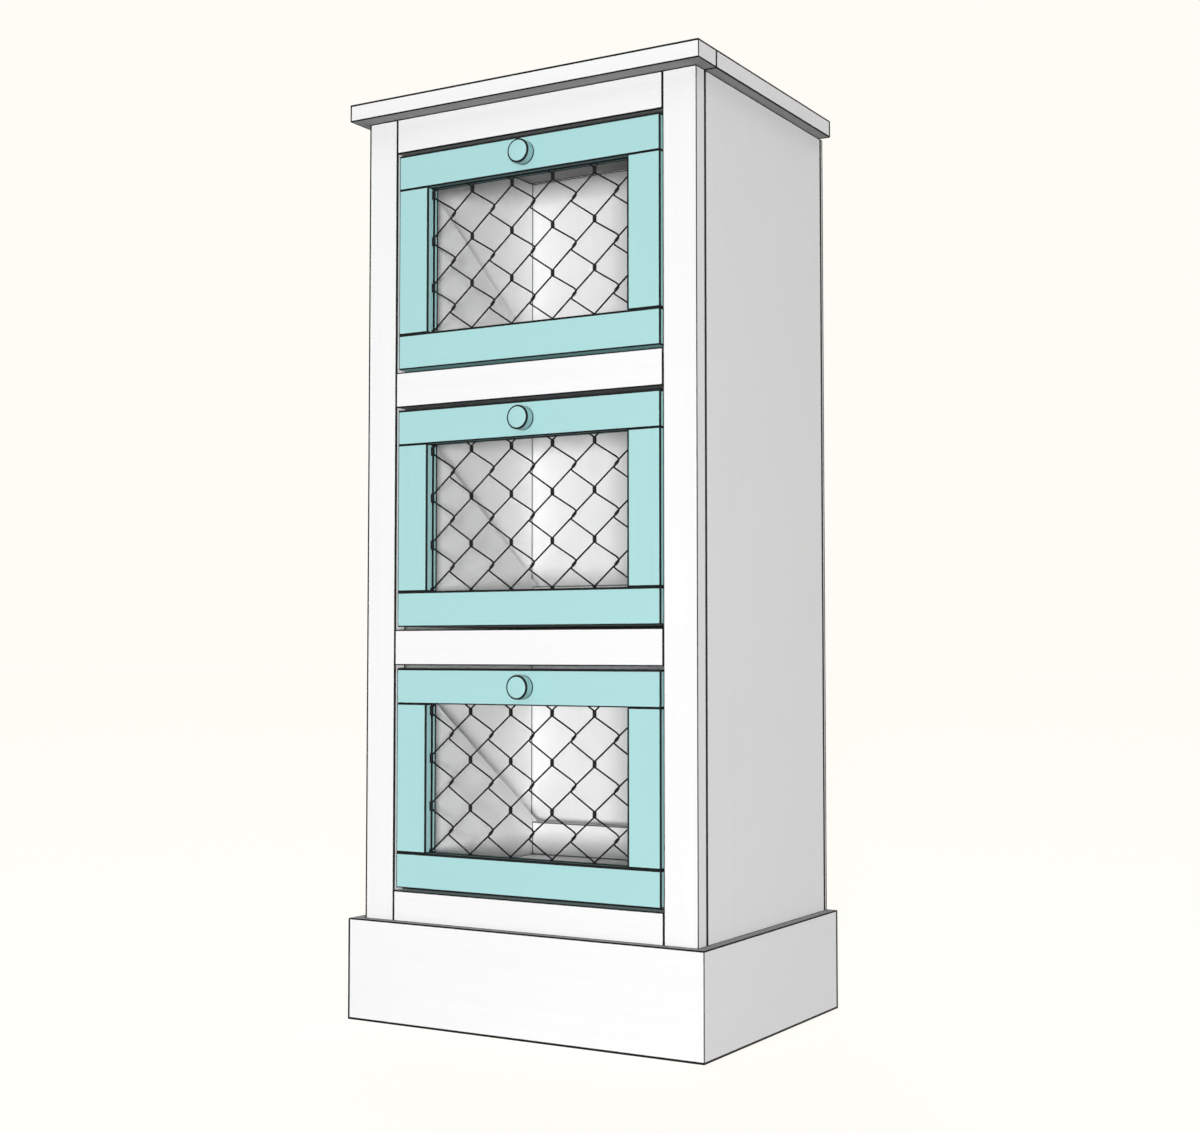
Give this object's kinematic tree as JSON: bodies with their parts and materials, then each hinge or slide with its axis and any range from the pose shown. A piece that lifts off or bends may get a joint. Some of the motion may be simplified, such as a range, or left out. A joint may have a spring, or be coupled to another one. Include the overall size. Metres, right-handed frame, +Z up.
{
  "type": "tilt out vegetable bin cabinet",
  "caption": "Narrow painted wooden cabinet with a face frame, overhanging top, base moulding and stacked tilt-out bins whose doors are framed wire mesh with round knobs.",
  "frame": {"origin": "on the floor, under the middle of the cabinet's overall box", "axes": "+Z up, -Y towards the person who faces the doors, +X to that person's right"},
  "size_m": [0.4318, 0.3302, 0.9969],
  "materials": {
    "cabinet_paint": "white brushed satin paint on pine boards",
    "door_paint": "pale aqua satin paint on pine boards",
    "bin_paint": "white paint on plywood",
    "bare_wood": "bare hardwood dowel",
    "black_wire": "black coated steel wire",
    "steel": "plain zinc-plated steel",
    "felt": "grey felt"
  },
  "bodies": {
    "root": {"side_panel_left": "cabinet_paint", "side_panel_right": "cabinet_paint", "shelf_bottom": "cabinet_paint", "shelf_middle": "cabinet_paint", "shelf_top": "cabinet_paint", "back_panel": "cabinet_paint", "face_stile_left": "cabinet_paint", "face_stile_right": "cabinet_paint", "face_rail_bottom": "cabinet_paint", "face_rail_lower": "cabinet_paint", "face_rail_upper": "cabinet_paint", "face_rail_top": "cabinet_paint", "base_front": "cabinet_paint", "base_left": "cabinet_paint", "base_right": "cabinet_paint", "top_front_strip": "cabinet_paint", "top_board": "cabinet_paint", "pivot_pins": "steel", "rest_pads": "felt"},
    "bin_bottom": {"door_top_rail_bottom": "door_paint", "door_bottom_rail_bottom": "door_paint", "door_stile_left_bottom": "door_paint", "door_stile_right_bottom": "door_paint", "wire_mesh_bottom": "black_wire", "mesh_retainers_bottom": "door_paint", "knob_bottom": "door_paint", "knob_screw_bottom": "steel", "bin_side_left_bottom": "bin_paint", "bin_side_right_bottom": "bin_paint", "bin_floor_bottom": "bin_paint", "bin_back_bottom": "bin_paint", "stop_pegs_bottom": "bare_wood"},
    "bin_middle": {"door_top_rail_middle": "door_paint", "door_bottom_rail_middle": "door_paint", "door_stile_left_middle": "door_paint", "door_stile_right_middle": "door_paint", "wire_mesh_middle": "black_wire", "mesh_retainers_middle": "door_paint", "knob_middle": "door_paint", "knob_screw_middle": "steel", "bin_side_left_middle": "bin_paint", "bin_side_right_middle": "bin_paint", "bin_floor_middle": "bin_paint", "bin_back_middle": "bin_paint", "stop_pegs_middle": "bare_wood"},
    "bin_top": {"door_top_rail_top": "door_paint", "door_bottom_rail_top": "door_paint", "door_stile_left_top": "door_paint", "door_stile_right_top": "door_paint", "wire_mesh_top": "black_wire", "mesh_retainers_top": "door_paint", "knob_top": "door_paint", "knob_screw_top": "steel", "bin_side_left_top": "bin_paint", "bin_side_right_top": "bin_paint", "bin_floor_top": "bin_paint", "bin_back_top": "bin_paint", "stop_pegs_top": "bare_wood"}
  },
  "joints": [
    {"name": "tilt_bottom", "type": "hinge", "parent": "root", "child": "bin_bottom", "pos_m": [0, -0.1397, 0.14922], "axis": [1, 0, 0], "range_deg": [0, 35]},
    {"name": "tilt_middle", "type": "hinge", "parent": "root", "child": "bin_middle", "pos_m": [0, -0.1397, 0.42862], "axis": [1, 0, 0], "range_deg": [0, 35]},
    {"name": "tilt_top", "type": "hinge", "parent": "root", "child": "bin_top", "pos_m": [0, -0.1397, 0.70803], "axis": [1, 0, 0], "range_deg": [0, 35]}
  ]
}
